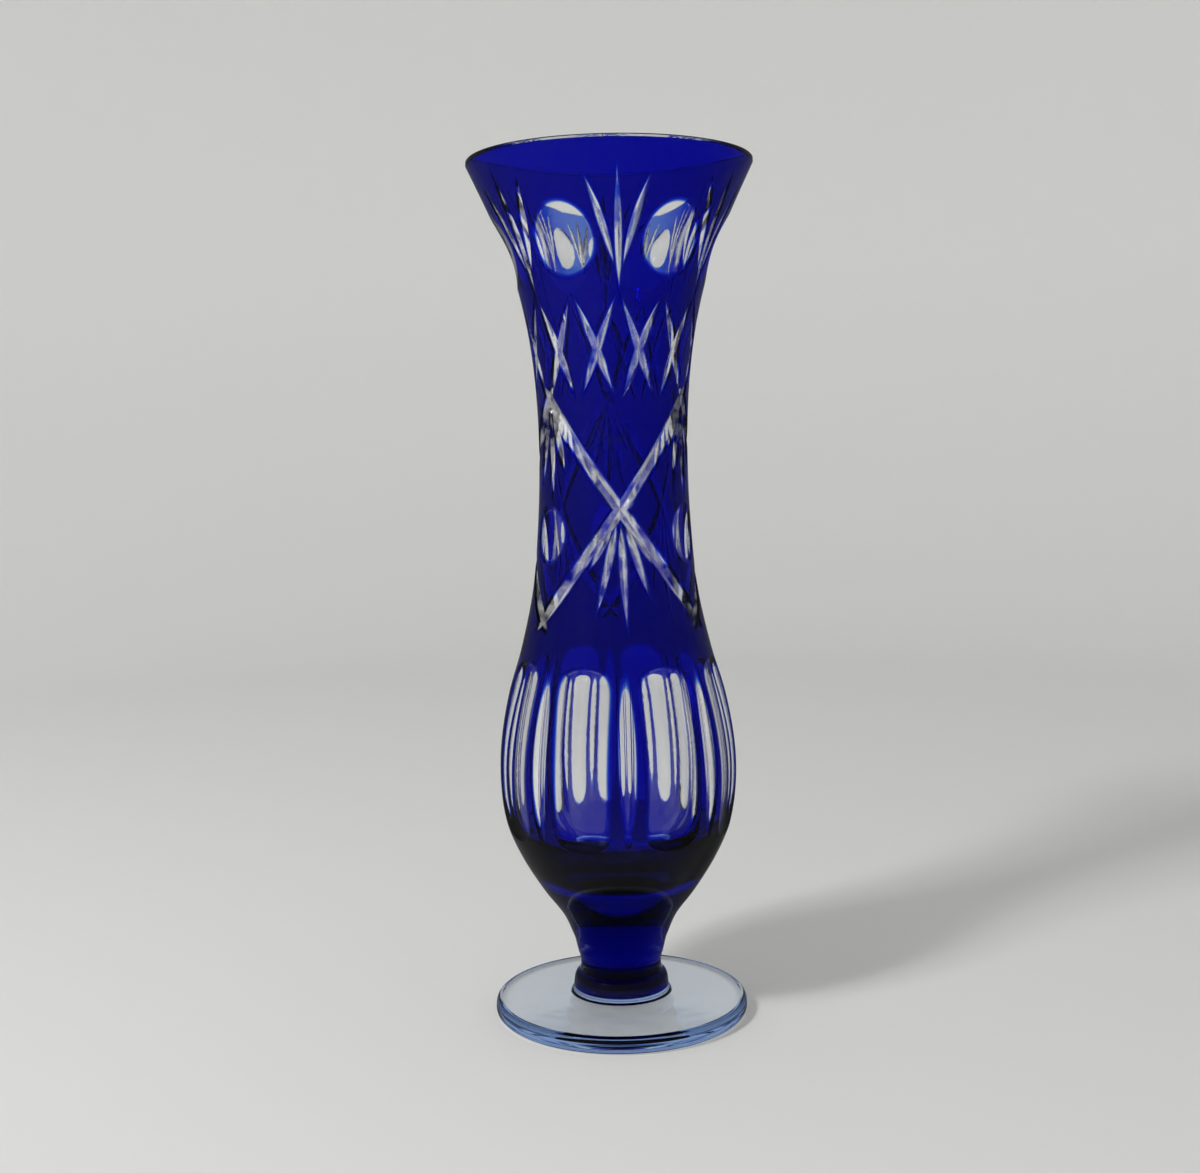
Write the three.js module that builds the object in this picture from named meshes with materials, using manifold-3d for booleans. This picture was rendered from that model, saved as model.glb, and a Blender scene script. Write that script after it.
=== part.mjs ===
// Footed bud vase of cased glass: a clear crystal vessel under a thin cobalt casing that is cut
// through to the clear glass in bands of printies, fans, crosses, a lattice and bulb flutes.
// Millimetres, +Z up, origin at the centre of the foot's underside. Angles round the vase are in
// degrees from the front (-Y) towards +X.
import * as THREE from 'three';
import { mergeVertices } from 'three/addons/utils/BufferGeometryUtils.js';
import Module from 'manifold-3d';

const wasm = await Module();
wasm.setup();

// ---- driving dimensions ----
const HEIGHT = 250;
const SEGMENTS = 36; // facets round the vase
const CASING = 0.6; // thickness of the cobalt casing
const GAP = 0.1; // clearance between fused layers
const JOINT_GAP = 0.3; // clearance between pieces stacked on each other
const LIP = 0.8; // clear lip left above the casing at the rim

const FOOT_RADIUS = 37.6;
const FOOT_THICKNESS = 5;
const BOSS_TOP = 12.4;
const COLLAR_RADIUS = 12.6;
const COLLAR_BOTTOM = 6.9;
const COLLAR_TOP = 11.9;
const STEM_TOP = 36.5;

// outside of the stem's flared end and of the body, up to the rim: [height, radius]
const BODY = [
  [22.6, 13.7], [30, 17.0], [38, 22.9], [48, 29.0], [58, 33.2], [70, 34.9], [82, 34.5], [96, 32.0],
  [110, 27.9], [127, 24.2], [144, 22.5], [161, 21.7], [179, 21.9], [196, 23.4], [211, 26.2],
  [225, 30.4], [237, 35.6], [250, 41.7],
];
// inside of the vessel, from the bottom of the well to the rim: [height, radius]
const WELL = [
  [42, 0], [42.4, 9], [44, 14], [47, 18.4], [51, 22.8], [57, 27.3], [63, 29.4], [70, 30.1],
  [78, 30.0], [86, 29.0], [96, 26.8], [110, 23.0], [127, 19.5], [144, 17.9], [161, 17.2],
  [179, 17.4], [196, 18.8], [211, 21.4], [225, 25.6], [237, 31.4], [250, 38.9],
];
// heights of the facet rows on the outside and in the well
const ROWS = [43, 52, 63, 77, 91, 105, 122, 142, 170, 193, 210, 225, 238];
const WELL_ROWS = [42.4, 44, 47, 51, 57, 65, 74, 84, 96, 109, 124, 145, 172, 194, 211, 226, 239];

// cut pattern
const LATTICE = { count: 3, crossing: 151.8, top: 182.5, bottom: 119.5 };
const CROSSES = { count: 12, top: 211, bottom: 181.5, reach: 15 };
const PRINTIES = { count: 6, height: 224.7, halfWidth: 9.9, halfHeight: 10.6, depth: 2.2 };
const SMALL_PRINTIES = { count: 3, height: 143.5, halfWidth: 7.2, halfHeight: 8.6, depth: 1.8 };
const FLUTES = { count: 8, bottom: 55.5, top: 107.5, halfWidth: 9.1, depth: 2 };
const OLIVES = { count: 8, height: 82, halfWidth: 3, halfHeight: 25, depth: 1.5 };
// rays of the fans above the crosses: [angle, height] of the upper tip and of the tail
const UPPER_RAYS = [
  [[-16, 241.5], [-1.2, 215.5]],
  [[-1.5, 244.5], [0.8, 208]],
  [[13.5, 241.5], [1.8, 215.5]],
];
// rays that hang from each lattice vertex: offsets [angle, height] of the root and of the tip
const HANGING_RAYS = [
  [[-5, -4], [-24, -19]],
  [[-2, -3], [-18.5, -33]],
  [[0, -3], [3, -38]],
  [[2.5, -3], [21, -28]],
  [[6, -4], [25, -18]],
];

const radians = THREE.MathUtils.degToRad;

// ---- surface of revolution ----
// smooth curve through hand-set points: value of the second number at a height
function curveAt(points, height) {
  let i = 0;
  while (i < points.length - 2 && height > points[i + 1][0]) i += 1;
  const slope = (a, b) => (points[b][1] - points[a][1]) / (points[b][0] - points[a][0]);
  const span = points[i + 1][0] - points[i][0];
  const startSlope = i > 0 ? slope(i - 1, i + 1) : slope(0, 1);
  const endSlope = i < points.length - 2 ? slope(i, i + 2) : slope(i, i + 1);
  const t = (height - points[i][0]) / span;
  const rest = 1 - t;
  return points[i][1] * rest * rest * (1 + 2 * t) + points[i + 1][1] * t * t * (3 - 2 * t)
    + startSlope * span * t * rest * rest - endSlope * span * t * t * rest;
}

// the outside surface at an angle and a height, with its outward normal
function surfaceAt(angle, height) {
  const turn = radians(angle);
  const radius = curveAt(BODY, height);
  const lean = curveAt(BODY, height + 0.5) - curveAt(BODY, height - 0.5);
  const point = new THREE.Vector3(radius * Math.sin(turn), -radius * Math.cos(turn), height);
  const normal = new THREE.Vector3(Math.sin(turn), -Math.cos(turn), -lean).normalize();
  return { point, normal, radius };
}

// ---- meshes and solids ----
function latheZ(points, segments = SEGMENTS) {
  const profile = points.map(([height, radius]) => new THREE.Vector2(radius, height));
  return new THREE.LatheGeometry(profile, segments).rotateX(Math.PI / 2);
}

function indexed(geometry) {
  geometry.deleteAttribute('normal');
  geometry.deleteAttribute('uv');
  const merged = mergeVertices(geometry, 1e-4);
  const index = Array.from(merged.index.array);
  const kept = [];
  for (let i = 0; i < index.length; i += 3) {
    const [a, b, c] = index.slice(i, i + 3);
    if (a !== b && b !== c && c !== a) kept.push(a, b, c);
  }
  merged.setIndex(kept);
  return merged;
}

function toSolid(geometry) {
  const merged = indexed(geometry);
  const vertProperties = Float32Array.from(merged.attributes.position.array);
  const triVerts = Uint32Array.from(merged.index.array);
  const solid = new wasm.Manifold(new wasm.Mesh({ numProp: 3, vertProperties, triVerts }));
  if (solid.volume() > 0) return solid;
  const flipped = Uint32Array.from(triVerts);
  for (let i = 0; i < flipped.length; i += 3) {
    [flipped[i + 1], flipped[i + 2]] = [flipped[i + 2], flipped[i + 1]];
  }
  return new wasm.Manifold(new wasm.Mesh({ numProp: 3, vertProperties, triVerts: flipped }));
}

function toGeometry(solid) {
  const mesh = solid.getMesh();
  const geometry = new THREE.BufferGeometry();
  geometry.setAttribute('position', new THREE.BufferAttribute(mesh.vertProperties, 3));
  geometry.setIndex(new THREE.BufferAttribute(mesh.triVerts, 1));
  return geometry;
}

function named(name, solid, material) {
  const mesh = new THREE.Mesh(toGeometry(solid), material);
  mesh.name = name;
  return mesh;
}

function geometryFrom(positions, index) {
  const geometry = new THREE.BufferGeometry();
  geometry.setAttribute('position', new THREE.Float32BufferAttribute(positions.flatMap((p) => p.toArray()), 3));
  geometry.setIndex(index);
  return geometry;
}

// ---- cutting wheels ----
// A mitre wheel's V groove along a straight line on the unrolled surface. The depth falls from
// the belly to nothing at both ends, and the solid closes to a point just outside the glass.
function mitreCut({ from, to, halfWidth, depth, sections, belly = 0.5, power = 2 }) {
  const lift = 0.5;
  const overrun = (1 + lift / depth) ** (1 / power);
  const positions = [];
  const rings = [];
  for (let i = 0; i <= sections; i += 1) {
    const s = overrun * (2 * i / sections - 1);
    const u = s < 0 ? belly * (1 + s) : belly + (1 - belly) * s;
    const at = (v) => surfaceAt(from[0] + (to[0] - from[0]) * v, from[1] + (to[1] - from[1]) * v);
    const { point, normal } = at(u);
    const along = at(u + 0.01).point.sub(at(u - 0.01).point).normalize();
    const side = new THREE.Vector3().crossVectors(normal, along).normalize();
    const here = i === 0 || i === sections ? -lift : depth * (1 - Math.abs(s) ** power);
    const half = (here + lift) * halfWidth / depth;
    const top = point.clone().addScaledVector(normal, lift);
    const first = positions.length;
    if (i === 0 || i === sections) {
      positions.push(top);
      rings.push([first, first, first]);
    } else {
      positions.push(top.clone().addScaledVector(side, -half), top.clone().addScaledVector(side, half));
      positions.push(point.clone().addScaledVector(normal, -here));
      rings.push([first, first + 1, first + 2]);
    }
  }
  const index = [];
  for (let i = 0; i < sections; i += 1) {
    for (let k = 0; k < 3; k += 1) {
      const [a, b] = [rings[i][k], rings[i][(k + 1) % 3]];
      const [c, d] = [rings[i + 1][k], rings[i + 1][(k + 1) % 3]];
      if (a !== b) index.push(a, b, c);
      if (c !== d) index.push(b, d, c);
    }
  }
  return toSolid(geometryFrom(positions, index));
}

// A broad convex wheel's dish: deepest in the middle, with an oval outline (power 2) or a long
// round-ended one (higher powers).
function dishCut({ angle, height, halfWidth, halfHeight, depth, power = 2, down = 4 }) {
  const across = 4;
  const lift = 0.6;
  const margin = 1.12;
  const positions = [];
  for (const layer of ['floor', 'lid']) {
    for (let j = 0; j <= down; j += 1) {
      const v = margin ** (2 / power) * Math.sin(Math.PI * (j / down - 0.5));
      for (let i = 0; i <= across; i += 1) {
        const u = margin * (2 * i / across - 1);
        const middle = surfaceAt(angle, height + v * halfHeight);
        const turn = THREE.MathUtils.radToDeg(u * halfWidth / middle.radius);
        const { point, normal } = surfaceAt(angle + turn, height + v * halfHeight);
        const cut = depth * (1 - u * u - Math.abs(v) ** power);
        const offset = layer === 'lid' ? lift : -Math.max(cut, -0.7 * lift);
        positions.push(point.addScaledVector(normal, offset));
      }
    }
  }
  const width = across + 1;
  const layerSize = width * (down + 1);
  const index = [];
  const quad = (a, b, c, d) => index.push(a, b, c, a, c, d);
  for (let j = 0; j < down; j += 1) {
    for (let i = 0; i < across; i += 1) {
      const a = j * width + i;
      quad(a, a + width, a + width + 1, a + 1);
      quad(a + layerSize, a + layerSize + 1, a + layerSize + width + 1, a + layerSize + width);
    }
    const left = j * width;
    const right = left + across;
    quad(left, left + layerSize, left + layerSize + width, left + width);
    quad(right, right + width, right + layerSize + width, right + layerSize);
  }
  for (let i = 0; i < across; i += 1) {
    const last = down * width + i;
    quad(i, i + 1, i + 1 + layerSize, i + layerSize);
    quad(last, last + layerSize, last + layerSize + 1, last + 1);
  }
  return toSolid(geometryFrom(positions, index));
}

function repeated(count, make, start = 0) {
  return Array.from({ length: count }, (_, k) => make(start + k * 360 / count));
}

// ---- the cuts, band by band ----
function ovalCuts({ count, height, halfWidth, halfHeight, depth }, start) {
  return repeated(count, (angle) => dishCut({ angle, height, halfWidth, halfHeight, depth }), start);
}

function upperFanCuts() {
  return repeated(PRINTIES.count, (angle) => UPPER_RAYS.map(([tip, tail]) => mitreCut({
    from: [angle + tip[0], tip[1]], to: [angle + tail[0], tail[1]], halfWidth: 1.6, depth: 1.3, sections: 2,
  }))).flat();
}

function crossCuts() {
  const { count, top, bottom, reach } = CROSSES;
  return repeated(count, (angle) => [-1, 1].map((hand) => mitreCut({
    from: [angle + hand * reach, top], to: [angle - hand * reach * 0.85, bottom],
    halfWidth: 1.8, depth: 1.4, belly: 0.55, sections: 2,
  })), 180 / count).flat();
}

function latticeCuts() {
  const { count, crossing, top, bottom } = LATTICE;
  const overshoot = 1.12;
  const reach = 180 / count * overshoot;
  return repeated(count, (angle) => [-1, 1].map((hand) => mitreCut({
    from: [angle + hand * reach, crossing + (top - crossing) * overshoot],
    to: [angle - hand * reach, crossing + (bottom - crossing) * overshoot],
    halfWidth: 2.4, depth: 1.7, power: 14, sections: 13,
  }))).flat();
}

function hangingFanCuts() {
  const { count, crossing, top } = LATTICE;
  const fan = (angle, height, size) => HANGING_RAYS.map(([root, tip]) => mitreCut({
    from: [angle + root[0] * size, height + root[1] * size],
    to: [angle + tip[0] * size, height + tip[1] * size],
    halfWidth: 1.85, depth: 1.4, belly: 0.4, sections: 2,
  }));
  const low = repeated(count, (angle) => fan(angle, crossing, 1));
  const high = repeated(count, (angle) => fan(angle, top, 0.8), 180 / count);
  return [...low, ...high].flat();
}

function fluteCuts() {
  const { count, bottom, top, halfWidth, depth } = FLUTES;
  const height = (bottom + top) / 2;
  const halfHeight = (top - bottom) / 2;
  return repeated(count, (angle) => dishCut({
    angle, height, halfWidth, halfHeight, depth, power: 10, down: 6,
  }), 180 / count);
}

function allCuts() {
  return [
    ...ovalCuts(PRINTIES, 180 / PRINTIES.count),
    ...upperFanCuts(),
    ...crossCuts(),
    ...latticeCuts(),
    ...hangingFanCuts(),
    ...ovalCuts(SMALL_PRINTIES, 180 / SMALL_PRINTIES.count),
    ...fluteCuts(),
    ...ovalCuts(OLIVES, 0),
  ];
}

// ---- the pieces ----
// facet rows of the body's outside, moved in by an inset, between two heights
function outside(bottom, top, inset) {
  const inner = ROWS.filter((height) => height > bottom + 1 && height < top - 1);
  return [bottom, ...inner, top].map((height) => [height, curveAt(BODY, height) - inset]);
}

function vesselBlank() {
  const bottom = STEM_TOP + JOINT_GAP;
  const shoulder = HEIGHT - LIP;
  const inside = WELL_ROWS.map((height) => [height, curveAt(WELL, height)]);
  const lipRadius = curveAt(BODY, HEIGHT);
  const profile = [
    [bottom, 0],
    ...outside(bottom, shoulder, CASING + GAP),
    [HEIGHT - 0.3, lipRadius - CASING],
    [HEIGHT, lipRadius - 1.3],
    [HEIGHT, WELL.at(-1)[1] + 0.5],
    ...inside.reverse(),
    [WELL[0][0], 0],
  ];
  return toSolid(latheZ(profile));
}

// a thin tube, open where the vessel meets the stem
function casingBlank() {
  const bottom = STEM_TOP + JOINT_GAP;
  const shoulder = HEIGHT - LIP;
  const skin = outside(bottom, shoulder, 0);
  return toSolid(latheZ([...skin, ...outside(bottom, shoulder, CASING).reverse(), skin[0]]));
}

// the solid stem, whose flared end carries the vessel
function stem() {
  const base = COLLAR_TOP + JOINT_GAP;
  const flare = [22.6, 26.5, 30, STEM_TOP].map((height) => [height, curveAt(BODY, height)]);
  const profile = [
    [base, 0], [base, 11.5], [BOSS_TOP, 11.85], [15, 12], [17.2, 12.3], [18.2, 12.7], [20, 13.1],
    ...flare, [STEM_TOP, 0],
  ];
  return toSolid(latheZ(profile));
}

function collar() {
  const profile = [
    [COLLAR_BOTTOM, 0], [COLLAR_BOTTOM, COLLAR_RADIUS - 0.8], [COLLAR_BOTTOM + 0.8, COLLAR_RADIUS],
    [COLLAR_TOP - 1, COLLAR_RADIUS], [COLLAR_TOP, COLLAR_RADIUS - 1], [COLLAR_TOP, 0],
  ];
  return toSolid(latheZ(profile));
}

// disc with a rounded edge and a deck that rises to a boss, the cup round the collar and the stem's end
function foot() {
  const cup = COLLAR_RADIUS + JOINT_GAP;
  const seat = COLLAR_BOTTOM - JOINT_GAP;
  const profile = [
    [0, 0], [0, FOOT_RADIUS - 1.8], [0.7, FOOT_RADIUS - 0.5], [2, FOOT_RADIUS], [3.2, FOOT_RADIUS],
    [4.4, FOOT_RADIUS - 0.7], [FOOT_THICKNESS, FOOT_RADIUS - 2.2], [5.85, 21], [6.2, 15.4],
    [6.6, 14.6], [7.4, 14.2], [10.4, 13.9], [BOSS_TOP - 0.4, 13.1], [BOSS_TOP, 12.5], [BOSS_TOP, 12.2],
    [COLLAR_TOP + 0.2, 11.85], [COLLAR_TOP - 0.9, cup], [seat, cup], [seat, 0],
  ];
  return toSolid(latheZ(profile));
}

// ---- materials ----
const clearGlass = new THREE.MeshStandardMaterial({ color: 0xdfe8ea, roughness: 0.05, metalness: 0 });
const footGlass = new THREE.MeshStandardMaterial({ color: 0xd3e2e8, roughness: 0.06, metalness: 0 });
const cobaltGlass = new THREE.MeshStandardMaterial({ color: 0x10109a, roughness: 0.05, metalness: 0 });
const stemGlass = new THREE.MeshStandardMaterial({ color: 0x0b0b6e, roughness: 0.06, metalness: 0 });
const collarGlass = new THREE.MeshStandardMaterial({ color: 0x06062c, roughness: 0.08, metalness: 0 });

// ---- assembly ----
// the lattice grooves cut the casing into separate islands, each one told by where it lies
function casingIslands(casing) {
  const smallest = 20; // cubic millimetres; anything less is a chip that the wheel takes away
  const islands = casing.decompose().filter((island) => island.volume() > smallest);
  let diamonds = 0;
  return islands.map((island) => {
    const { min, max } = island.boundingBox();
    if (min[2] < STEM_TOP + 5) return named('bulb_casing', island, cobaltGlass);
    if (max[2] > HEIGHT - 5) return named('throat_casing', island, cobaltGlass);
    diamonds += 1;
    return named(`waist_diamond_${diamonds}`, island, cobaltGlass);
  });
}

const cuts = wasm.Manifold.union(allCuts());

const vase = new THREE.Group();
vase.name = 'cut_crystal_vase';
vase.add(named('clear_vessel', vesselBlank().subtract(cuts), clearGlass));
vase.add(...casingIslands(casingBlank().subtract(cuts)));
vase.add(named('stem', stem(), stemGlass));
vase.add(named('collar', collar(), collarGlass));
vase.add(named('foot', foot(), footGlass));

export default vase;
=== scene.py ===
"""A footed bud vase of cased glass: clear crystal under a thin cobalt casing, cut through to the clear.

The pieces are modelled in millimetres, with angles in degrees round the vase from the front (-Y)
towards +X, and are scaled to the frame at the end. Wheels cut the blanks with boolean solids, and
every face corner carries its own smooth normal, so polished curves stay smooth and cut edges crisp.
"""
import math

import bpy
import numpy as np
from mathutils import Matrix, Vector


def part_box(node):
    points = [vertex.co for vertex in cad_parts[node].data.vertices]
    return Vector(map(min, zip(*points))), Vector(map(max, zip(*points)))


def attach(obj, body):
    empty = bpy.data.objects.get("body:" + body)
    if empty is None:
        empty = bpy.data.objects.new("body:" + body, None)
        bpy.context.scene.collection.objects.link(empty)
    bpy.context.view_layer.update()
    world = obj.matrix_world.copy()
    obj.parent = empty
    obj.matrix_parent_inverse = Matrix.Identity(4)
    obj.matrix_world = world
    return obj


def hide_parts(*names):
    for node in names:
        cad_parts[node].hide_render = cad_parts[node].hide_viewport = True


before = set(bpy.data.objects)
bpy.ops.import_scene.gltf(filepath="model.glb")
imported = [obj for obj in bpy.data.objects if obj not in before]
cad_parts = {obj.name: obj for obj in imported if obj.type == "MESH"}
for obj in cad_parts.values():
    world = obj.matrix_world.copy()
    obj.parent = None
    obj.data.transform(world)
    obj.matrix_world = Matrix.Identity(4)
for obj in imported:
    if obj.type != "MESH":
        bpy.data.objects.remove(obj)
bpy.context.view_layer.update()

# ---- driving dimensions, in millimetres ----
HEIGHT = 250
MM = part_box("clear_vessel")[1][2] / HEIGHT  # metres of the frame in one millimetre of this script
SEGMENTS = 240  # facets round the vase
BODY_ROWS = 150  # rows of facets up the body, the well and the stem
WELL_ROWS = 140
STEM_ROWS = 120
CASING = 0.6  # thickness of the cobalt casing at the front
# share of that thickness at the back, where the casing was blown thinner towards the rim: height, share
CASING_BACK = [(22.6, 1.0), (60, 1.0), (100, 0.85), (140, 0.6), (200, 0.22), (250, 0.2)]
GAP = 0.02  # clearance between fused layers of glass
LIP = 0.8  # height of the rounded rim

FOOT_RADIUS = 37.6
FOOT_THICKNESS = 5
BOSS_TOP = 12.4
COLLAR_RADIUS = 12.6
COLLAR_BOTTOM = 6.9
COLLAR_TOP = 11.9
STEM_TOP = 36.5
JOINT_RADIUS = 11.6  # of the stem's lower end, on the collar
BOSS_RADIUS = 12.2  # of the hole in the boss's top, where the stem comes out

# outside of the stem's flared end and of the body, up to the rim: height, radius
BODY = [
    (22.6, 13.7), (30, 17.0), (38, 22.9), (48, 29.0), (58, 33.2), (70, 34.9), (82, 34.5), (96, 32.0),
    (110, 27.9), (127, 24.2), (144, 22.5), (161, 21.7), (179, 21.9), (196, 23.4), (211, 26.2),
    (225, 30.4), (237, 35.6), (250, 41.7),
]
# outside of the stem from the foot's boss up to the flare: height, radius
NECK = [(BOSS_TOP, 12.16), (13.4, 12.02), (15, 12.0), (17.2, 12.3), (18.2, 12.65), (20, 13.1), BODY[0]]
# rings that tooling left on the stem: they stand out most at the middle, and fade over the spread
TOOLING = {"size": 0.05, "spacing": 0.75, "start": 16.2, "middle": 17.9, "spread": 1.3}
# inside of the vessel, from the bottom of the well to the rim: height, radius
WELL = [
    (42, 0), (42.4, 9), (44, 14), (47, 18.4), (51, 22.8), (57, 27.3), (63, 29.4), (70, 30.1),
    (78, 30.0), (86, 29.0), (96, 26.8), (110, 23.0),
    (127, 19.5), (144, 17.9), (161, 17.2), (179, 17.4), (196, 18.8), (211, 21.4), (225, 25.6),
    (237, 31.4), (250, 38.9),
]

# cut pattern: the reach is in degrees, and the lattice's grooves overshoot its vertices, so that
# they part the casing
LATTICE = {"count": 3, "crossing": 151.8, "top": 182.5, "bottom": 119.5, "overshoot": 1.12}
CROSSES = {"count": 12, "top": 211, "bottom": 181.5, "reach": 15, "lower_share": 0.85}
PRINTIES = {"count": 6, "height": 224.7, "half_width": 9.9, "half_height": 10.6, "depth": 2.2}
SMALL_PRINTIES = {"count": 3, "height": 143.5, "half_width": 7.2, "half_height": 8.6, "depth": 1.8}
FLUTES = {"count": 8, "bottom": 55.5, "top": 107.5, "half_width": 9.1, "depth": 2.0}
OLIVES = {"count": 8, "height": 82, "half_width": 3.0, "half_height": 25, "depth": 1.5}
# rays of the fans above the crosses: angle and height of the upper tip and of the tail
UPPER_RAYS = [
    ((-16, 241.5), (-1.2, 215.5)),
    ((-1.5, 244.5), (0.8, 208)),
    ((13.5, 241.5), (1.8, 215.5)),
]
# rays that hang from each lattice vertex: offsets in angle and height of the root and of the tip
HANGING_RAYS = [
    ((-5, -4), (-24, -19)),
    ((-2, -3), (-18.5, -33)),
    ((0, -3), (3, -38)),
    ((2.5, -3), (21, -28)),
    ((6, -4), (25, -18)),
]
TOP_FAN_SIZE = 0.8  # of the fans under the lattice's upper vertices, against those under its crossings
# grooves of the mitre wheel: the belly is how far along the groove is deepest, and a higher power
# keeps it deep for longer
UPPER_GROOVE = {"half_width": 1.6, "depth": 1.3}
CROSS_GROOVE = {"half_width": 1.8, "depth": 1.4, "belly": 0.55}
LATTICE_GROOVE = {"half_width": 2.4, "depth": 1.7, "power": 14, "sections": 72}
HANGING_GROOVE = {"half_width": 1.85, "depth": 1.4, "belly": 0.38}

# ---- looks ----
GLASS_IOR = 1.54
CUT_ROUGHNESS = 0.13  # of the mitre cuts; everything else is polished
# the tint is what the body of the glass lets through, and the density is how fast, per metre, it
# takes the rest
GLASSES = {
    "clear_crystal": {"color": (0.99, 0.995, 1.0), "frost": 0.3},
    "cobalt_casing": {"color": (0.85, 0.9, 1.0), "tint": (0.0, 0.37, 0.926), "density": 19600},
    "cobalt_stem": {"color": (0.4, 0.5, 1.0), "sheen": (0.35, 0.35, 0.9), "tint": (0.0, 0.30, 0.88),
                    "density": 560},
    "dark_collar": {"color": (0.3, 0.35, 0.8), "tint": (0.0, 0.1, 0.78), "density": 1500},
    "clear_foot": {"color": (0.97, 0.99, 1.0), "tint": (0.0, 0.38, 0.9), "density": 15},
}
# noise in the glass: milky patches and grain where wheels cut it, and slight waves all over
PATCHES = {"scale": 230, "detail": 3}
PATCH_EDGES = (0.38, 0.62)
GRAIN = {"scale": 900, "detail": 4}
GRAIN_SHARE = 0.9
WAVES = {"scale": 70, "detail": 1}
BUMP_STRENGTH = 0.4
BUMP_DISTANCE = 0.0001

# the camera, in millimetres and degrees
CAMERA_DISTANCE = 454.2
CAMERA_HEIGHT = 167.7
CAMERA_TURN = -4.5  # degrees round the vase from the front
CAMERA_PITCH = 5.056
CAMERA_ROLL = -0.93
CAMERA_PAN = -0.57
CAMERA_LENS = 46.49

# the stage and the lights, with their lengths in metres
STAGE = {"radius": 1.1, "bend": 0.35, "top": 1.5, "floor": -0.0002, "segments": 96, "bend_steps": 12}
STAGE_COLOR = (0.7, 0.7, 0.69, 1)
STAGE_GLOW_COLOR = (1.0, 1.0, 0.98, 1)
STAGE_GLOW = 0.142  # light that the lit wall and floor give off themselves
PAINTED_FOOT_LIGHT = 0.38  # painted light: the floor beneath the clear foot glows, in place of the light that the foot gathers there
# painted shade: the dark paint that the stage shows in mirror images off the glass
MIRROR_SHADE_COLOR = (0.08, 0.08, 0.09, 1)
MIRROR_SHADE_SHARES = [(0.12, 0.86), (0.22, 0.93)]  # distance from the vase, and how much of the stage is painted dark there in mirror images
LIGHT_DISTANCE = 1.2
LIGHTS = {
    "key": {"direction": (-0.64, -0.47, 0.61), "size": 0.24, "power": 7.3, "mirrored": False},
    "sparkle": {"direction": (-0.62, -0.5, 0.6), "size": 0.07, "power": 1.2, "mirrored": True},
}
WORLD_COLOR = (0.95, 0.97, 1.0, 1)
WORLD_STRENGTH = 0.05
BOUNCES = 32  # light passes many walls of glass
MIRROR_BOUNCES = 12


# ---- curves and the outside surface ----
def curve_at(points, height):
    """Smooth curve through given points: the second number at each height."""
    knots, values = np.array(points, float).T
    slopes = np.empty(len(knots))
    slopes[1:-1] = (values[2:] - values[:-2]) / (knots[2:] - knots[:-2])
    slopes[0] = (values[1] - values[0]) / (knots[1] - knots[0])
    slopes[-1] = (values[-1] - values[-2]) / (knots[-1] - knots[-2])
    height = np.asarray(height, float)
    i = np.clip(np.searchsorted(knots, height) - 1, 0, len(knots) - 2)
    span = knots[i + 1] - knots[i]
    t = (height - knots[i]) / span
    rest = 1 - t
    return (values[i] * rest * rest * (1 + 2 * t) + values[i + 1] * t * t * (3 - 2 * t)
            + slopes[i] * span * t * rest * rest - slopes[i + 1] * span * t * t * rest)


def surface_at(angle, height):
    """Points of the outside at these angles and heights, with their outward normals."""
    angle, height = np.broadcast_arrays(np.asarray(angle, float), np.asarray(height, float))
    turn = np.radians(angle)
    radius = curve_at(BODY, height)
    step = 0.5
    lean = (curve_at(BODY, height + step) - curve_at(BODY, height - step)) / (2 * step)
    point = np.stack([radius * np.sin(turn), -radius * np.cos(turn), height], -1)
    normal = unit(np.stack([np.sin(turn), -np.cos(turn), -lean], -1))
    return point, normal


def unit(vectors):
    length = np.linalg.norm(vectors, axis=-1, keepdims=True)
    return vectors / np.maximum(length, 1e-12)


def arc(start, end, bulge, steps=8):
    """Points (height, radius, inset) from start to end on a curve that bulges to its left."""
    start, end = np.array(start, float), np.array(end, float)
    across = end - start
    left = np.zeros(len(start))
    left[:2] = -across[1], across[0]
    t = np.linspace(0, 1, steps + 1)[:, None]
    return start + across * t + left * bulge * np.sin(math.pi * t)


# ---- skins: closed meshes put together from grids of points ----
class Skin:
    """Grids of points that close up into one solid, with a normal and two marks at each corner."""

    def __init__(self):
        self.points = []
        self.quads = []
        self.normals = []
        self.fused = []
        self.cut = []
        self.size = 0

    def add(self, grid, normals, fused=0.0, cut=0.0, flip=False):
        rows, columns = grid.shape[:2]
        index = np.arange(rows * columns).reshape(rows, columns)
        quads = np.stack([index[:-1, :-1], index[:-1, 1:], index[1:, 1:], index[1:, :-1]], -1)
        quads = quads.reshape(-1, 4)
        if flip:
            quads = quads[:, ::-1]
            normals = -normals
        self.normals.append(normals.reshape(-1, 3)[quads])
        self.points.append(grid.reshape(-1, 3))
        self.quads.append(quads + self.size)
        self.fused.append(np.full(len(quads), fused))
        self.cut.append(np.full(len(quads), cut))
        self.size += rows * columns

    def add_smooth(self, grid, cut=0.0, flip=False):
        """A grid whose normals follow from its own points."""
        self.add(grid, grid_normals(grid), cut=cut, flip=flip)

    def mesh(self, name):
        """The closed mesh: points that meet become one, and sides that shrink to nothing go."""
        points, normals = np.concatenate(self.points), np.concatenate(self.normals)
        quads = np.concatenate(self.quads)
        smallest = 1e-5
        places = np.round(points / smallest).astype(np.int64)
        _, first, shared = np.unique(places, axis=0, return_index=True, return_inverse=True)
        corners = shared.reshape(-1)[quads]
        kept = corners != np.roll(corners, 1, axis=1)
        solid = kept.sum(1) > 2
        kept &= solid[:, None]
        marks = {"fused": np.concatenate(self.fused), "cut": np.concatenate(self.cut)}
        marks = {key: np.repeat(value[:, None], 4, 1)[kept] for key, value in marks.items()}
        sizes = kept.sum(1)[solid]
        return new_mesh(name, points[first], corners[kept], sizes, normals[kept], marks)


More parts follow.
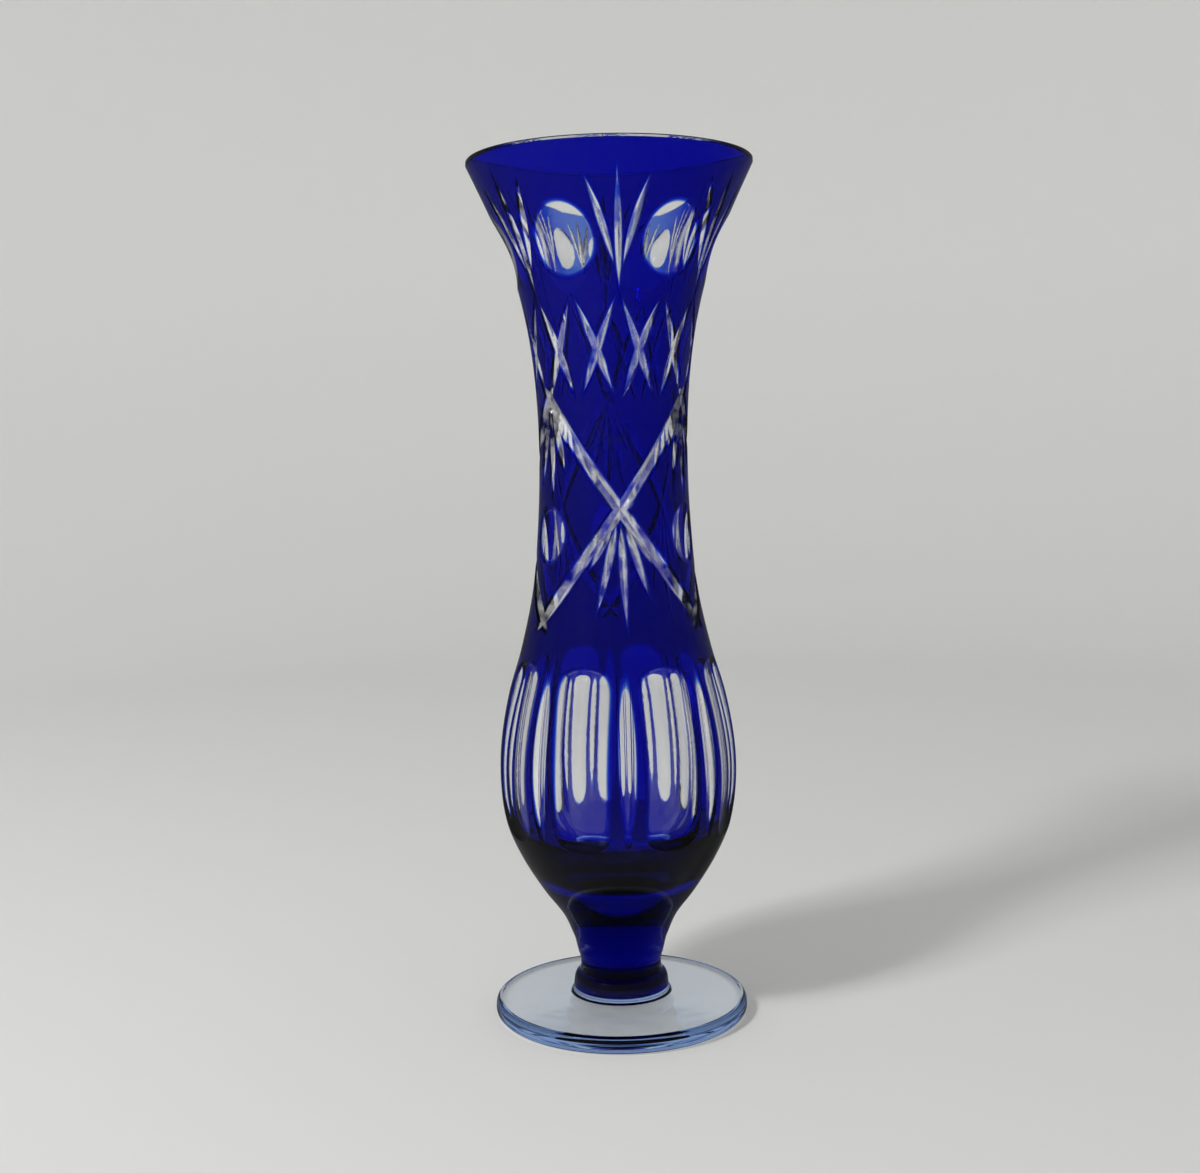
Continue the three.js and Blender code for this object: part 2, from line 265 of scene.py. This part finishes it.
def grid_normals(grid):
    """Normals of a grid from the lines through its points; a line that shrinks to a point borrows."""
    down, across = np.gradient(grid, axis=0), np.gradient(grid, axis=1)
    normals = np.cross(across, down)
    length = np.linalg.norm(normals, axis=-1)
    for row, inner in ((0, 1), (-1, -2)):
        if length[row].max() < 1e-6:
            normals[row] = normals[inner]
    return unit(normals)


def new_mesh(name, points, corners, sizes, normals, marks):
    mesh = bpy.data.meshes.new(name)
    mesh.vertices.add(len(points))
    mesh.vertices.foreach_set("co", points.astype(np.float32).ravel())
    mesh.loops.add(len(corners))
    mesh.loops.foreach_set("vertex_index", corners.astype(np.int32))
    mesh.polygons.add(len(sizes))
    starts = np.concatenate([[0], np.cumsum(sizes)[:-1]])
    mesh.polygons.foreach_set("loop_start", starts.astype(np.int32))
    mesh.update(calc_edges=True)
    shade = mesh.attributes.new("shade", "FLOAT_VECTOR", "CORNER")
    shade.data.foreach_set("vector", normals.astype(np.float32).ravel())
    for key, values in marks.items():
        mark = mesh.attributes.new(key, "FLOAT", "CORNER")
        mark.data.foreach_set("value", values.astype(np.float32))
    return mesh


def turned(profile):
    """The skin turned from runs of a profile: each run is (points, fused), and a point is a height, a
    radius and, where the casing's varying thickness moves it in, the thickness at the front.

    Runs follow each other up the outside and on to the axis, or back to the first point where the
    piece is a tube. The profile is smooth inside a run and sharp between runs."""
    skin = Skin()
    turn = np.radians(np.arange(SEGMENTS + 1) % SEGMENTS * 360 / SEGMENTS)
    for points, fused in profile:
        points = np.array(points, float)
        along = unit(np.gradient(points[:, :2], axis=0))
        back = curve_at(CASING_BACK, points[:, :1])
        share = (1 + back) / 2 + (1 - back) / 2 * np.cos(turn)
        inset = points[:, 2:] * share if points.shape[1] > 2 else 0
        grid = ring(points[:, 1:2] - inset, points[:, :1], turn)
        normals = ring(along[:, :1], -along[:, 1:], turn)
        skin.add(grid, normals, fused)
    return skin


def ring(radius, height, turn):
    return np.stack([radius * np.sin(turn), -radius * np.cos(turn), height + 0 * turn], -1)


# ---- cutting wheels ----
def mitre_cut(skin, start, end, half_width, depth, belly=0.5, power=2, sections=28):
    """A mitre wheel's V groove along a straight line on the unrolled surface. The depth falls from
    the belly to nothing at both ends, and the solid closes to a point just outside the glass."""
    lift = 0.5  # of the lid above the glass
    overrun = (1 + lift / depth) ** (1 / power)
    s = overrun * np.linspace(-1, 1, sections + 1)
    u = np.where(s < 0, belly * (1 + s), belly + (1 - belly) * s)
    start, end = np.array(start, float), np.array(end, float)

    def at(v):
        place = start + (end - start) * v[:, None]
        return surface_at(place[:, 0], place[:, 1])

    point, normal = at(u)
    step = 0.01
    along = unit(at(u + step)[0] - at(u - step)[0])
    side = unit(np.cross(normal, along))
    here = depth * (1 - np.abs(s) ** power)
    here[[0, -1]] = -lift
    half = ((here + lift) * half_width / depth)[:, None]
    lid = point + normal * lift
    left, right = lid - side * half, lid + side * half
    floor = point - normal * here[:, None]
    for a, b, mark in ((left, floor, 1.0), (floor, right, 1.0), (right, left, 0.0)):
        skin.add_smooth(np.stack([a, b], 1), cut=mark)


def dish_cut(skin, angle, height, half_width, half_height, depth, power=2, across=24, down=24):
    """A broad convex wheel's dish: deepest in the middle, with an oval outline (power 2) or a long
    round-ended one (higher powers)."""
    lift = 0.6  # of the lid above the glass
    margin = 1.12  # of the solid past the dish's outline
    u = margin * np.linspace(-1, 1, across + 1)[None, :]
    v = margin ** (2 / power) * np.sin(math.pi * np.linspace(-0.5, 0.5, down + 1))[:, None]
    at_height = height + v * half_height + 0 * u
    turn = np.degrees(u * half_width / curve_at(BODY, at_height))
    point, normal = surface_at(angle + turn, at_height)
    depth_here = depth * (1 - u * u - np.abs(v) ** power)
    highest = 0.7 * lift
    floor = point - normal * np.maximum(depth_here, -highest)[..., None]
    lid = point + normal * lift
    skin.add_smooth(floor, cut=0.5, flip=True)
    skin.add_smooth(lid)
    walls = [(floor[0], lid[0]), (lid[-1], floor[-1])]
    walls += [(lid[:, 0], floor[:, 0]), (floor[:, -1], lid[:, -1])]
    for a, b in walls:
        skin.add_smooth(np.stack([a, b], 0))


def angles(count, start=0.0):
    return start + np.arange(count) * 360 / count


def dishes(pattern, start, **shape):
    skin = Skin()
    for angle in angles(pattern["count"], start):
        dish_cut(skin, angle, pattern["height"], pattern["half_width"], pattern["half_height"],
                 pattern["depth"], **shape)
    return skin


def upper_fan_cuts():
    for tip, tail in UPPER_RAYS:
        skin = Skin()
        for angle in angles(PRINTIES["count"]):
            mitre_cut(skin, (angle + tip[0], tip[1]), (angle + tail[0], tail[1]), **UPPER_GROOVE)
        yield skin


def cross_cuts():
    count, reach = CROSSES["count"], CROSSES["reach"]
    for hand in (-1, 1):
        skin = Skin()
        for angle in angles(count, 180 / count):
            start = (angle + hand * reach, CROSSES["top"])
            end = (angle - hand * reach * CROSSES["lower_share"], CROSSES["bottom"])
            mitre_cut(skin, start, end, **CROSS_GROOVE)
        yield skin


def lattice_cuts():
    overshoot, crossing = LATTICE["overshoot"], LATTICE["crossing"]
    reach = 180 / LATTICE["count"] * overshoot
    top = crossing + (LATTICE["top"] - crossing) * overshoot
    bottom = crossing + (LATTICE["bottom"] - crossing) * overshoot
    for hand in (-1, 1):
        skin = Skin()
        for angle in angles(LATTICE["count"]):
            mitre_cut(skin, (angle + hand * reach, top), (angle - hand * reach, bottom), **LATTICE_GROOVE)
        yield skin


def hanging_fan_cuts():
    count = LATTICE["count"]
    vertices = [(angle, LATTICE["crossing"], 1.0) for angle in angles(count)]
    vertices += [(angle, LATTICE["top"], TOP_FAN_SIZE) for angle in angles(count, 180 / count)]
    for root, tip in HANGING_RAYS:
        skin = Skin()
        for angle, height, size in vertices:
            start = (angle + root[0] * size, height + root[1] * size)
            end = (angle + tip[0] * size, height + tip[1] * size)
            mitre_cut(skin, start, end, **HANGING_GROOVE)
        yield skin


def flute_cuts():
    long_dish = dict(FLUTES, height=(FLUTES["bottom"] + FLUTES["top"]) / 2,
                     half_height=(FLUTES["top"] - FLUTES["bottom"]) / 2)
    return dishes(long_dish, 180 / FLUTES["count"], power=10, across=24, down=64)


def olive_cuts():
    return dishes(OLIVES, 0, across=16, down=48)


def all_cuts():
    """Every wheel cut, in groups whose solids stay clear of each other."""
    skins = [dishes(pattern, 180 / pattern["count"]) for pattern in (PRINTIES, SMALL_PRINTIES)]
    skins += [*upper_fan_cuts(), *cross_cuts(), *lattice_cuts(), *hanging_fan_cuts()]
    skins += [flute_cuts(), olive_cuts()]
    return [linked(skin.mesh("cutter"), "cutter") for skin in skins]


# ---- from blanks to finished pieces ----
def linked(mesh, name):
    obj = bpy.data.objects.new(name, mesh)
    bpy.context.scene.collection.objects.link(obj)
    return obj


def cut_away(blank, cutters):
    """The blank's mesh with every cutter taken away from it."""
    obj = linked(blank, "blank")
    for cutter in cutters:
        modifier = obj.modifiers.new("wheel", "BOOLEAN")
        modifier.operation = "DIFFERENCE"
        modifier.solver = "MANIFOLD"
        modifier.object = cutter
    graph = bpy.context.evaluated_depsgraph_get()
    result = bpy.data.meshes.new_from_object(obj.evaluated_get(graph))
    bpy.data.objects.remove(obj)
    bpy.data.meshes.remove(blank)
    return result


def arrays_of(mesh):
    """A mesh as plain arrays: points, corners, face sizes, corner normals and corner marks."""
    points = np.empty(len(mesh.vertices) * 3, np.float32)
    mesh.vertices.foreach_get("co", points)
    corners = np.empty(len(mesh.loops), np.int32)
    mesh.loops.foreach_get("vertex_index", corners)
    sizes = np.empty(len(mesh.polygons), np.int32)
    mesh.polygons.foreach_get("loop_total", sizes)
    shade = np.empty(len(mesh.loops) * 3, np.float32)
    mesh.attributes["shade"].data.foreach_get("vector", shade)
    marks = {}
    for key in ("fused", "cut"):
        marks[key] = np.empty(len(mesh.loops), np.float32)
        mesh.attributes[key].data.foreach_get("value", marks[key])
    return points.reshape(-1, 3), corners, sizes, shade.reshape(-1, 3), marks


def islands(mesh):
    """The separate closed bodies in a mesh, as meshes of their own."""
    points, corners, sizes, normals, marks = arrays_of(mesh)
    face = np.repeat(np.arange(len(sizes)), sizes)
    label = np.arange(len(points))
    while True:
        lowest = np.full(len(sizes), len(points))
        np.minimum.at(lowest, face, label[corners])
        better = label.copy()
        np.minimum.at(better, corners, lowest[face])
        better = better[better]
        if (better == label).all():
            break
        label = better
    for body in np.unique(label[corners]):
        faces = lowest == body
        kept = faces[face]
        used, renamed = np.unique(corners[kept], return_inverse=True)
        kept_marks = {key: values[kept] for key, values in marks.items()}
        yield new_mesh(mesh.name, points[used], renamed, sizes[faces], normals[kept], kept_marks)


def finish_mesh(mesh):
    """Scales a mesh to the frame and gives each corner its smooth normal, on its face's own side."""
    mesh.transform(Matrix.Scale(MM, 4))
    face_normals = np.empty(len(mesh.polygons) * 3, np.float32)
    mesh.polygons.foreach_get("normal", face_normals)
    face_normals = face_normals.reshape(-1, 3)
    _, _, sizes, shade, _ = arrays_of(mesh)
    own = np.repeat(face_normals, sizes, axis=0)
    agree = (own * shade).sum(1)
    shade = unit(np.where(agree[:, None] < 0, -shade, shade))
    least_agreement = 0.3  # a corner whose normals disagree more than this keeps its face's own
    shade = np.where(np.abs(agree)[:, None] < least_agreement, own, shade)
    mesh.polygons.foreach_set("use_smooth", np.ones(len(mesh.polygons), bool))
    mesh.attributes.remove(mesh.attributes["shade"])
    mesh.normals_split_custom_set(shade)
    mesh.update()
    return mesh


def piece(name, mesh, material, slot, *nodes):
    """A finished piece of glass that stands for CAD nodes."""
    obj = linked(finish_mesh(mesh), name)
    mesh.name = name
    mesh.materials.clear()
    mesh.materials.append(material)
    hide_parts(*nodes)
    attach(obj, "root")


# ---- blanks ----
FREE = 0.0
FUSED = 1.0


def outside(bottom, top, gap, inset):
    """The body's outside between two heights, moved in by a gap and by the casing's thickness."""
    height = np.linspace(bottom, top, BODY_ROWS + 1)
    return np.stack([height, curve_at(BODY, height) - gap, np.full(BODY_ROWS + 1, inset)], -1)


def vessel_blank():
    bottom = STEM_TOP + GAP
    shoulder = HEIGHT - LIP
    body = outside(bottom, shoulder, GAP, CASING)
    rim = curve_at(BODY, HEIGHT)
    floor, inner_lip = WELL[0][0], HEIGHT - 0.6
    closer_low_down = 1.8
    heights = floor + (inner_lip - floor) * np.linspace(0, 1, WELL_ROWS + 1) ** closer_low_down
    inside = np.stack([heights, curve_at(WELL, heights)], -1)[::-1]
    lip_start = (HEIGHT - 0.35, rim - 0.55)
    lip_middle = (HEIGHT, rim - 1.3)
    lip_end = (HEIGHT, WELL[-1][1] + 0.55)
    profile = [
        ([(bottom, 0, 0), tuple(body[0])], FUSED),
        (body, FUSED),
        ([tuple(body[-1]), (*lip_start, 0)], FREE),
        (arc(lip_start, lip_middle, 0.18), FREE),
        ([lip_middle, lip_end], FREE),
        (arc(lip_end, tuple(inside[0]), 0.2), FREE),
        (inside, FREE),
    ]
    return turned(profile).mesh("vessel")


def casing_blank():
    """A thin tube, open where the vessel meets the stem."""
    bottom = STEM_TOP + GAP
    shoulder = HEIGHT - LIP
    bevel = 0.3
    outer = outside(bottom, shoulder - bevel, 0, 0)
    inner = outside(bottom, shoulder, 0, CASING)[::-1]
    profile = [
        (outer, FREE),
        (arc(tuple(outer[-1]), tuple(inner[0]), 0.2), FREE),
        (inner, FUSED),
        ([tuple(inner[-1]), tuple(outer[0])], FUSED),
    ]
    return turned(profile).mesh("casing")


def joint_curve(offset):
    """The stem's end inside the foot's boss, from the collar up to the boss's edge."""
    heights = np.linspace(COLLAR_TOP, BOSS_TOP, 5)
    return np.stack([heights, np.linspace(JOINT_RADIUS, BOSS_RADIUS, 5) + offset], -1)


def stem_mesh():
    """The solid stem, whose flared end carries the vessel."""
    seat = joint_curve(-GAP)
    seat[0, 0] += GAP
    heights = np.linspace(BOSS_TOP, STEM_TOP, STEM_ROWS + 1)
    radii = np.where(heights < BODY[0][0], curve_at(NECK, heights), curve_at(BODY, heights))
    wave = np.sin((heights - TOOLING["start"]) / TOOLING["spacing"] * math.pi)
    fade = np.exp(-((heights - TOOLING["middle"]) / TOOLING["spread"]) ** 2)
    side = np.stack([heights, radii + TOOLING["size"] * wave * fade], -1)
    profile = [
        ([(seat[0, 0], 0), tuple(seat[0])], FUSED),
        (seat, FUSED),
        ([tuple(seat[-1]), tuple(side[0])], FREE),
        (side, FREE),
        ([tuple(side[-1]), (STEM_TOP, 0)], FUSED),
    ]
    return turned(profile).mesh("stem")


def collar_curve(offset):
    """The collar's outline from its flat underside up to the stem's end, moved out by an offset."""
    low, wide = COLLAR_BOTTOM + 0.8, COLLAR_RADIUS + offset
    under = arc((COLLAR_BOTTOM - offset, COLLAR_RADIUS - 0.8), (low, wide), 0.2)
    over = arc((COLLAR_TOP - 1.0, wide), (COLLAR_TOP, JOINT_RADIUS + offset), 0.15)
    return np.concatenate([under, over])


def collar_mesh():
    curve = collar_curve(0)
    profile = [
        ([(COLLAR_BOTTOM, 0), tuple(curve[0])], FUSED),
        (curve, FUSED),
        ([tuple(curve[-1]), (COLLAR_TOP, 0)], FUSED),
    ]
    return turned(profile).mesh("collar")


def foot_mesh():
    """A disc with a soft double edge, and a deck that rises to a boss, the cup round the collar."""
    edge = [
        (0, FOOT_RADIUS - 1.4), (2.1, FOOT_RADIUS), (2.6, FOOT_RADIUS - 0.16),
        (3.2, FOOT_RADIUS - 0.05), (FOOT_THICKNESS, FOOT_RADIUS - 1.7),
    ]
    deck = [
        edge[4], (5.43, 28), (5.85, 21), (6.15, 16.0), (6.25, 15.2), (6.6, 14.6), (7.3, 14.25),
        (8.8, 14.1), (10.4, 13.9), (11.5, 13.5), (12.1, 13.0), (BOSS_TOP, 12.5),
    ]
    seat = joint_curve(0.0)[::-1]
    cup = collar_curve(GAP)[::-1]
    profile = [
        ([(0, 0), edge[0]], FREE),
        (arc(edge[0], edge[1], 0.16), FREE),
        (arc(edge[1], edge[2], 0.0, 2), FREE),
        (arc(edge[2], edge[3], 0.0, 2), FREE),
        (arc(edge[3], edge[4], 0.2), FREE),
        (smooth_run(deck), FREE),
        ([deck[-1], tuple(seat[0])], FREE),
        (seat, FUSED),
        ([tuple(seat[-1]), tuple(cup[0])], FUSED),
        (cup, FUSED),
        ([tuple(cup[-1]), (COLLAR_BOTTOM - GAP, 0)], FUSED),
    ]
    return turned(profile).mesh("foot")


def smooth_run(points, steps=6):
    """Extra points on a smooth line through given points."""
    points = np.array(points, float)
    place = np.arange(len(points))
    fine = np.linspace(0, len(points) - 1, steps * (len(points) - 1) + 1)
    return np.stack([curve_at(np.stack([place, points[:, k]], -1), fine) for k in (0, 1)], -1)


# ---- materials ----
def feed(tree, socket, value):
    """Links another node's output to a socket, or sets the socket to a plain value."""
    if isinstance(value, bpy.types.NodeSocket):
        tree.links.new(value, socket)
    else:
        socket.default_value = value


def node(tree, kind, **values):
    """A new node, with its settings and inputs given by name."""
    made = tree.nodes.new(kind)
    for key, value in values.items():
        if hasattr(made, key):
            setattr(made, key, value)
        else:
            feed(tree, made.inputs[key.replace("_", " ")], value)
    return made


def maths(tree, operation, *values):
    made = node(tree, "ShaderNodeMath", operation=operation)
    for socket, value in zip(made.inputs, values):
        feed(tree, socket, value)
    return made.outputs["Value"]


def ramp(tree, value, start, end):
    """Goes in a straight line between two points (in, out), and stays level before and after them."""
    made = node(tree, "ShaderNodeMapRange", Value=value, From_Min=start[0], From_Max=end[0],
                To_Min=start[1], To_Max=end[1])
    return made.outputs["Result"]


def noise(tree, place, scale, detail):
    return node(tree, "ShaderNodeTexNoise", Vector=place, Scale=scale, Detail=detail).outputs["Fac"]


def attribute(tree, name):
    return node(tree, "ShaderNodeAttribute", attribute_name=name).outputs["Fac"]


def glass(name, color, tint=None, density=0.0, sheen=(1, 1, 1), frost=0.0):
    """Polished glass whose cut faces keep the wheel's fine grain and, with some frost, milky patches.
    Where two pieces are fused, the face between them neither bends nor reflects light."""
    material = bpy.data.materials.new(name)
    material.use_nodes = True
    tree = material.node_tree
    tree.nodes.clear()
    place = node(tree, "ShaderNodeTexCoord").outputs["Object"]
    cut = attribute(tree, "cut")
    index = ramp(tree, attribute(tree, "fused"), (0, GLASS_IOR), (1, 1.0))
    roughness = ramp(tree, cut, (0.5, 0), (1, CUT_ROUGHNESS))
    ground = maths(tree, "MULTIPLY", cut, GRAIN_SHARE)
    grain = maths(tree, "MULTIPLY", noise(tree, place, **GRAIN), ground)
    height = maths(tree, "ADD", grain, noise(tree, place, **WAVES))
    bump = node(tree, "ShaderNodeBump", Distance=BUMP_DISTANCE, Strength=BUMP_STRENGTH, Height=height)
    shader = node(tree, "ShaderNodeBsdfPrincipled", Base_Color=(*color, 1), Specular_Tint=(*sheen, 1),
                  Transmission_Weight=1.0, IOR=index, Roughness=roughness, Normal=bump.outputs["Normal"])
    if frost:
        low, high = PATCH_EDGES
        patches = ramp(tree, noise(tree, place, **PATCHES), (low, 0), (high, frost))
        milky = maths(tree, "MULTIPLY", patches, ramp(tree, cut, (0.5, 0), (1, 1)))
        feed(tree, shader.inputs["Transmission Weight"], maths(tree, "SUBTRACT", 1.0, milky))
    output = node(tree, "ShaderNodeOutputMaterial", Surface=shader.outputs["BSDF"])
    if tint:
        volume = node(tree, "ShaderNodeVolumeAbsorption", Color=(*tint, 1), Density=density)
        feed(tree, output.inputs["Volume"], volume.outputs["Volume"])
    return material


# ---- camera, stage and light ----
def add_camera():
    data = bpy.data.cameras.new("camera")
    data.lens = CAMERA_LENS
    data.sensor_width = 36
    data.clip_start = 0.01
    camera = bpy.data.objects.new("camera", data)
    bpy.context.scene.collection.objects.link(camera)
    pan, pitch, roll = (math.radians(a) for a in (CAMERA_PAN, CAMERA_PITCH, CAMERA_ROLL))
    up = Vector((0, 0, 1))
    level = Vector((math.sin(pan), math.cos(pan), 0))
    right = Vector((math.cos(pan), -math.sin(pan), 0))
    forward = math.cos(pitch) * level - math.sin(pitch) * up
    above = math.sin(pitch) * level + math.cos(pitch) * up
    rolled_right = math.cos(roll) * right + math.sin(roll) * above
    rolled_above = math.cos(roll) * above - math.sin(roll) * right
    matrix = Matrix((rolled_right, rolled_above, -forward)).transposed().to_4x4()
    matrix.translation = Vector((0, -CAMERA_DISTANCE * MM, CAMERA_HEIGHT * MM))
    camera.matrix_world = Matrix.Rotation(math.radians(CAMERA_TURN), 4, "Z") @ matrix
    bpy.context.scene.camera = camera


def add_stage():
    """A pale floor that sweeps up into a pale wall all round, far enough out to walk round inside."""
    radius, bend, floor, count = STAGE["radius"], STAGE["bend"], STAGE["floor"], STAGE["segments"]
    profile = [(radius - bend, floor)]
    for turn in np.linspace(0, math.pi / 2, STAGE["bend_steps"] + 1)[1:]:
        profile.append((radius - bend + bend * math.sin(turn), floor + bend * (1 - math.cos(turn))))
    profile.append((radius, STAGE["top"]))
    points, faces = [(0, 0, floor)], []
    for r, z in profile:
        for turn in np.linspace(0, 2 * math.pi, count, endpoint=False):
            points.append((r * math.cos(turn), r * math.sin(turn), z))
    for i in range(count):
        j = (i + 1) % count
        faces.append((0, 1 + i, 1 + j))
        for row in range(len(profile) - 1):
            low = 1 + row * count
            faces.append((low + i, low + count + i, low + count + j, low + j))
    mesh = bpy.data.meshes.new("stage")
    mesh.from_pydata(points, [], faces)
    mesh.polygons.foreach_set("use_smooth", np.ones(len(mesh.polygons), bool))
    mesh.materials.append(stage_paint())
    linked(mesh, "stage")


def stage_paint():
    """Matt pale paint. It is painted dark for light that mirrors off the outside of the glass, which
    paints shade into the glass's reflections.
    The floor under the foot glows with painted light, except in mirror images, where it is painted dark
    too."""
    material = bpy.data.materials.new("pale_stage")
    material.use_nodes = True
    tree = material.node_tree
    paint = tree.nodes["Principled BSDF"]
    paint.inputs["Base Color"].default_value = STAGE_COLOR
    paint.inputs["Roughness"].default_value = 0.9
    paint.inputs["Specular IOR Level"].default_value = 0.1
    paint.inputs["Emission Color"].default_value = STAGE_GLOW_COLOR
    # painted shade: dark paint swapped in where the stage is seen in the glass's reflections
    painted_mirror_shade = node(tree, "ShaderNodeBsdfDiffuse", Color=MIRROR_SHADE_COLOR)

    place = node(tree, "ShaderNodeTexCoord").outputs["Object"]
    distance = node(tree, "ShaderNodeVectorMath", operation="LENGTH", Vector=place).outputs["Value"]
    # painted light: the floor under the foot glows, except where it is seen in mirror images
    under_foot = ramp(tree, distance, (0.9 * FOOT_RADIUS * MM, 1), (FOOT_RADIUS * MM, 0))
    path = node(tree, "ShaderNodeLightPath").outputs
    straight = maths(tree, "LESS_THAN", path["Glossy Depth"], 0.5)
    painted_light_under_foot = maths(tree, "MULTIPLY", under_foot, straight)
    glow = maths(tree, "MULTIPLY_ADD", painted_light_under_foot, PAINTED_FOOT_LIGHT, STAGE_GLOW)
    feed(tree, paint.inputs["Emission Strength"], glow)

    # painted shade: the stage turns dark for light mirrored off the outside of the glass, and under the
    # foot in mirror images
    not_through = maths(tree, "SUBTRACT", 1, path["Is Transmission Ray"])
    off_outside = maths(tree, "MULTIPLY", path["Is Glossy Ray"], not_through)
    mirror_shade_mask = maths(tree, "MAXIMUM", off_outside, maths(tree, "SUBTRACT", under_foot, painted_light_under_foot))
    mix = node(tree, "ShaderNodeMixShader")
    feed(tree, mix.inputs[0], maths(tree, "MULTIPLY", mirror_shade_mask, ramp(tree, distance, *MIRROR_SHADE_SHARES)))
    feed(tree, mix.inputs[1], paint.outputs["BSDF"])
    feed(tree, mix.inputs[2], painted_mirror_shade.outputs["BSDF"])
    feed(tree, tree.nodes["Material Output"].inputs["Surface"], mix.outputs["Shader"])
    return material


def add_light(name, direction, size, power, mirrored):
    """A square light aimed at the middle of the vase, which shows in the glass only if mirrored."""
    data = bpy.data.lights.new(name, "AREA")
    data.shape = "SQUARE"
    data.size = size
    data.energy = power
    obj = bpy.data.objects.new(name, data)
    bpy.context.scene.collection.objects.link(obj)
    direction = Vector(direction).normalized()
    middle = Vector((0, 0, HEIGHT * MM / 2))
    obj.location = middle + direction * LIGHT_DISTANCE
    obj.rotation_euler = direction.to_track_quat("Z", "Y").to_euler()
    obj.visible_glossy = mirrored
    obj.visible_transmission = mirrored


def add_lights():
    world = bpy.data.worlds.new("studio")
    bpy.context.scene.world = world
    world.use_nodes = True
    background = world.node_tree.nodes["Background"]
    background.inputs["Color"].default_value = WORLD_COLOR
    background.inputs["Strength"].default_value = WORLD_STRENGTH
    for name, light in LIGHTS.items():
        add_light(name, **light)


def main():
    add_camera()
    add_stage()
    add_lights()
    scene = bpy.context.scene
    scene.view_settings.view_transform = "Standard"
    scene.cycles.max_bounces = BOUNCES
    scene.cycles.transmission_bounces = BOUNCES
    scene.cycles.glossy_bounces = MIRROR_BOUNCES

    glasses = {name: glass(name, **look) for name, look in GLASSES.items()}
    cutters = all_cuts()
    vessel = cut_away(vessel_blank(), cutters)
    casing = cut_away(casing_blank(), cutters)
    for cutter in cutters:
        bpy.data.objects.remove(cutter)

    piece("vessel_glass", vessel, glasses["clear_crystal"], "clear_crystal", "clear_vessel")
    add_casing(casing, glasses["cobalt_casing"])
    piece("stem_glass", stem_mesh(), glasses["cobalt_stem"], "cobalt_stem", "stem")
    piece("collar_glass", collar_mesh(), glasses["dark_collar"], "dark_collar", "collar")
    piece("foot_glass", foot_mesh(), glasses["clear_foot"], "clear_foot", "foot")


def middle_of(low, high):
    return (Vector(low) + Vector(high)) / 2


def add_casing(casing, cobalt):
    """The casing's islands, each told by where it lies; chips that the wheel takes away are dropped."""
    names = [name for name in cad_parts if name.startswith("waist_diamond")]
    diamonds = {name: middle_of(*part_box(name)) for name in names}
    smallest_island = 20 * MM
    near = 5 * MM  # how close the outer islands come to the stem and to the rim
    for mesh in islands(casing):
        points = arrays_of(mesh)[0] * MM
        low, high = points.min(0), points.max(0)
        if high[2] - low[2] < smallest_island:
            continue
        if low[2] < STEM_TOP * MM + near:
            piece("bulb_cobalt", mesh, cobalt, "cobalt_casing", "bulb_casing")
        elif high[2] > HEIGHT * MM - near:
            piece("throat_cobalt", mesh, cobalt, "cobalt_casing", "throat_casing")
        else:
            middle = middle_of(low, high)
            nearest = min(diamonds, key=lambda name: (diamonds[name] - middle).length)
            piece(nearest.replace("waist_", "cobalt_"), mesh, cobalt, "cobalt_casing", nearest)


main()
